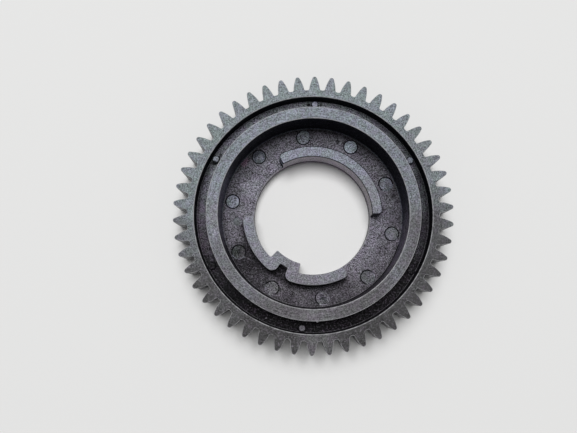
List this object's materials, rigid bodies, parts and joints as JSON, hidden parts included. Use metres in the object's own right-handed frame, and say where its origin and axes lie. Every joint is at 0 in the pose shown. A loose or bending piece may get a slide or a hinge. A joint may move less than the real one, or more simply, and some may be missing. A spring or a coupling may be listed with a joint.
{
  "type": "fuser roller gear",
  "caption": "Moulded plastic spur gear that fits on a fuser roller's end, with a keyed bore, a split collar and a raised ring on one face.",
  "frame": {"origin": "on the bore's axis, in the plane of the back faces of the rim and of the boss round the bore", "axes": "+Z along the bore's axis, out of the face with the ring and the collar; seen from +Z with +Y up, the key points to the lower left, at 240 degrees from +X"},
  "size_m": [0.052, 0.052, 0.0114],
  "materials": {
    "dark_grey_plastic": "dark grey moulded engineering plastic, matte and finely grained"
  },
  "bodies": {
    "root": {"roller_gear": "dark_grey_plastic"}
  },
  "joints": []
}
